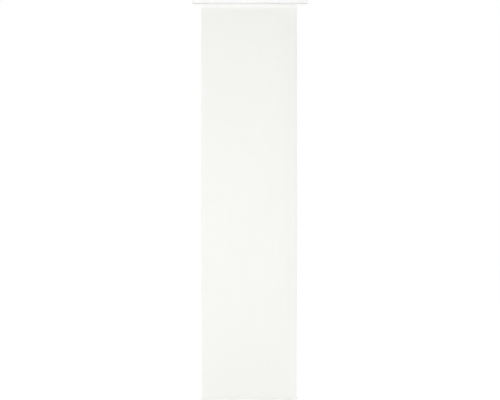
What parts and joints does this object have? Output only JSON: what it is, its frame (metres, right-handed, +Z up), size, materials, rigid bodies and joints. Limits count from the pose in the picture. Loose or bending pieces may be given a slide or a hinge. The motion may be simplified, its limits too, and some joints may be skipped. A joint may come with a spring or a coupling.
{
  "type": "panel curtain",
  "caption": "Flat white fabric panel curtain on a rolling carrier in a ceiling track, with hook-and-loop top and a weight bar in its bottom pocket.",
  "frame": {"origin": "on the track's ceiling face, midway between the two fixing holes", "axes": "+X along the track, to the right seen from the room; -Y towards the room; +Z up"},
  "size_m": [0.716, 0.04, 2.4719],
  "materials": {
    "coated_aluminium": "satin",
    "white_plastic": "satin",
    "wheel_plastic": "satin",
    "steel": "satin",
    "panel_cloth": "matte",
    "tape": "matte",
    "bare_aluminium": "satin"
  },
  "bodies": {
    "rail": {"track": "coated_aluminium", "track_cap_left": "white_plastic", "track_cap_right": "white_plastic", "end_stop_left": "white_plastic", "end_stop_right": "white_plastic", "stop_screw_left": "steel", "stop_screw_right": "steel"},
    "panel": {"panel_carrier": "coated_aluminium", "carrier_cap_left": "white_plastic", "carrier_cap_right": "white_plastic", "hook_tape": "tape", "loop_tape": "tape", "fabric_panel": "panel_cloth", "weight_bar": "bare_aluminium", "bar_cap_left": "white_plastic", "bar_cap_right": "white_plastic", "glider_1": "white_plastic", "glider_2": "white_plastic", "glider_3": "white_plastic", "glider_4": "white_plastic"},
    "wheel_set_1": {"axle_1": "steel", "wheel_1_front": "wheel_plastic", "wheel_1_back": "wheel_plastic"},
    "wheel_set_2": {"axle_2": "steel", "wheel_2_front": "wheel_plastic", "wheel_2_back": "wheel_plastic"},
    "wheel_set_3": {"axle_3": "steel", "wheel_3_front": "wheel_plastic", "wheel_3_back": "wheel_plastic"},
    "wheel_set_4": {"axle_4": "steel", "wheel_4_front": "wheel_plastic", "wheel_4_back": "wheel_plastic"}
  },
  "joints": [
    {"name": "carrier_slide", "type": "slide", "parent": "rail", "child": "panel", "axis": [1, 0, 0], "range_m": [-0.0575, 0.0675]},
    {"name": "wheel_roll_1", "type": "hinge", "parent": "panel", "child": "wheel_set_1", "pos_m": [-0.275, 0.0123, -0.01293], "axis": [0, 1, 0], "continuous": true},
    {"name": "wheel_roll_2", "type": "hinge", "parent": "panel", "child": "wheel_set_2", "pos_m": [-0.095, 0.0123, -0.01293], "axis": [0, 1, 0], "continuous": true},
    {"name": "wheel_roll_3", "type": "hinge", "parent": "panel", "child": "wheel_set_3", "pos_m": [0.085, 0.0123, -0.01293], "axis": [0, 1, 0], "continuous": true},
    {"name": "wheel_roll_4", "type": "hinge", "parent": "panel", "child": "wheel_set_4", "pos_m": [0.265, 0.0123, -0.01293], "axis": [0, 1, 0], "continuous": true}
  ],
  "couplings": [
    {"joint": "wheel_roll_1", "follows": "carrier_slide", "rad_per_m": 242.42},
    {"joint": "wheel_roll_2", "follows": "carrier_slide", "rad_per_m": 242.42},
    {"joint": "wheel_roll_3", "follows": "carrier_slide", "rad_per_m": 242.42},
    {"joint": "wheel_roll_4", "follows": "carrier_slide", "rad_per_m": 242.42}
  ]
}
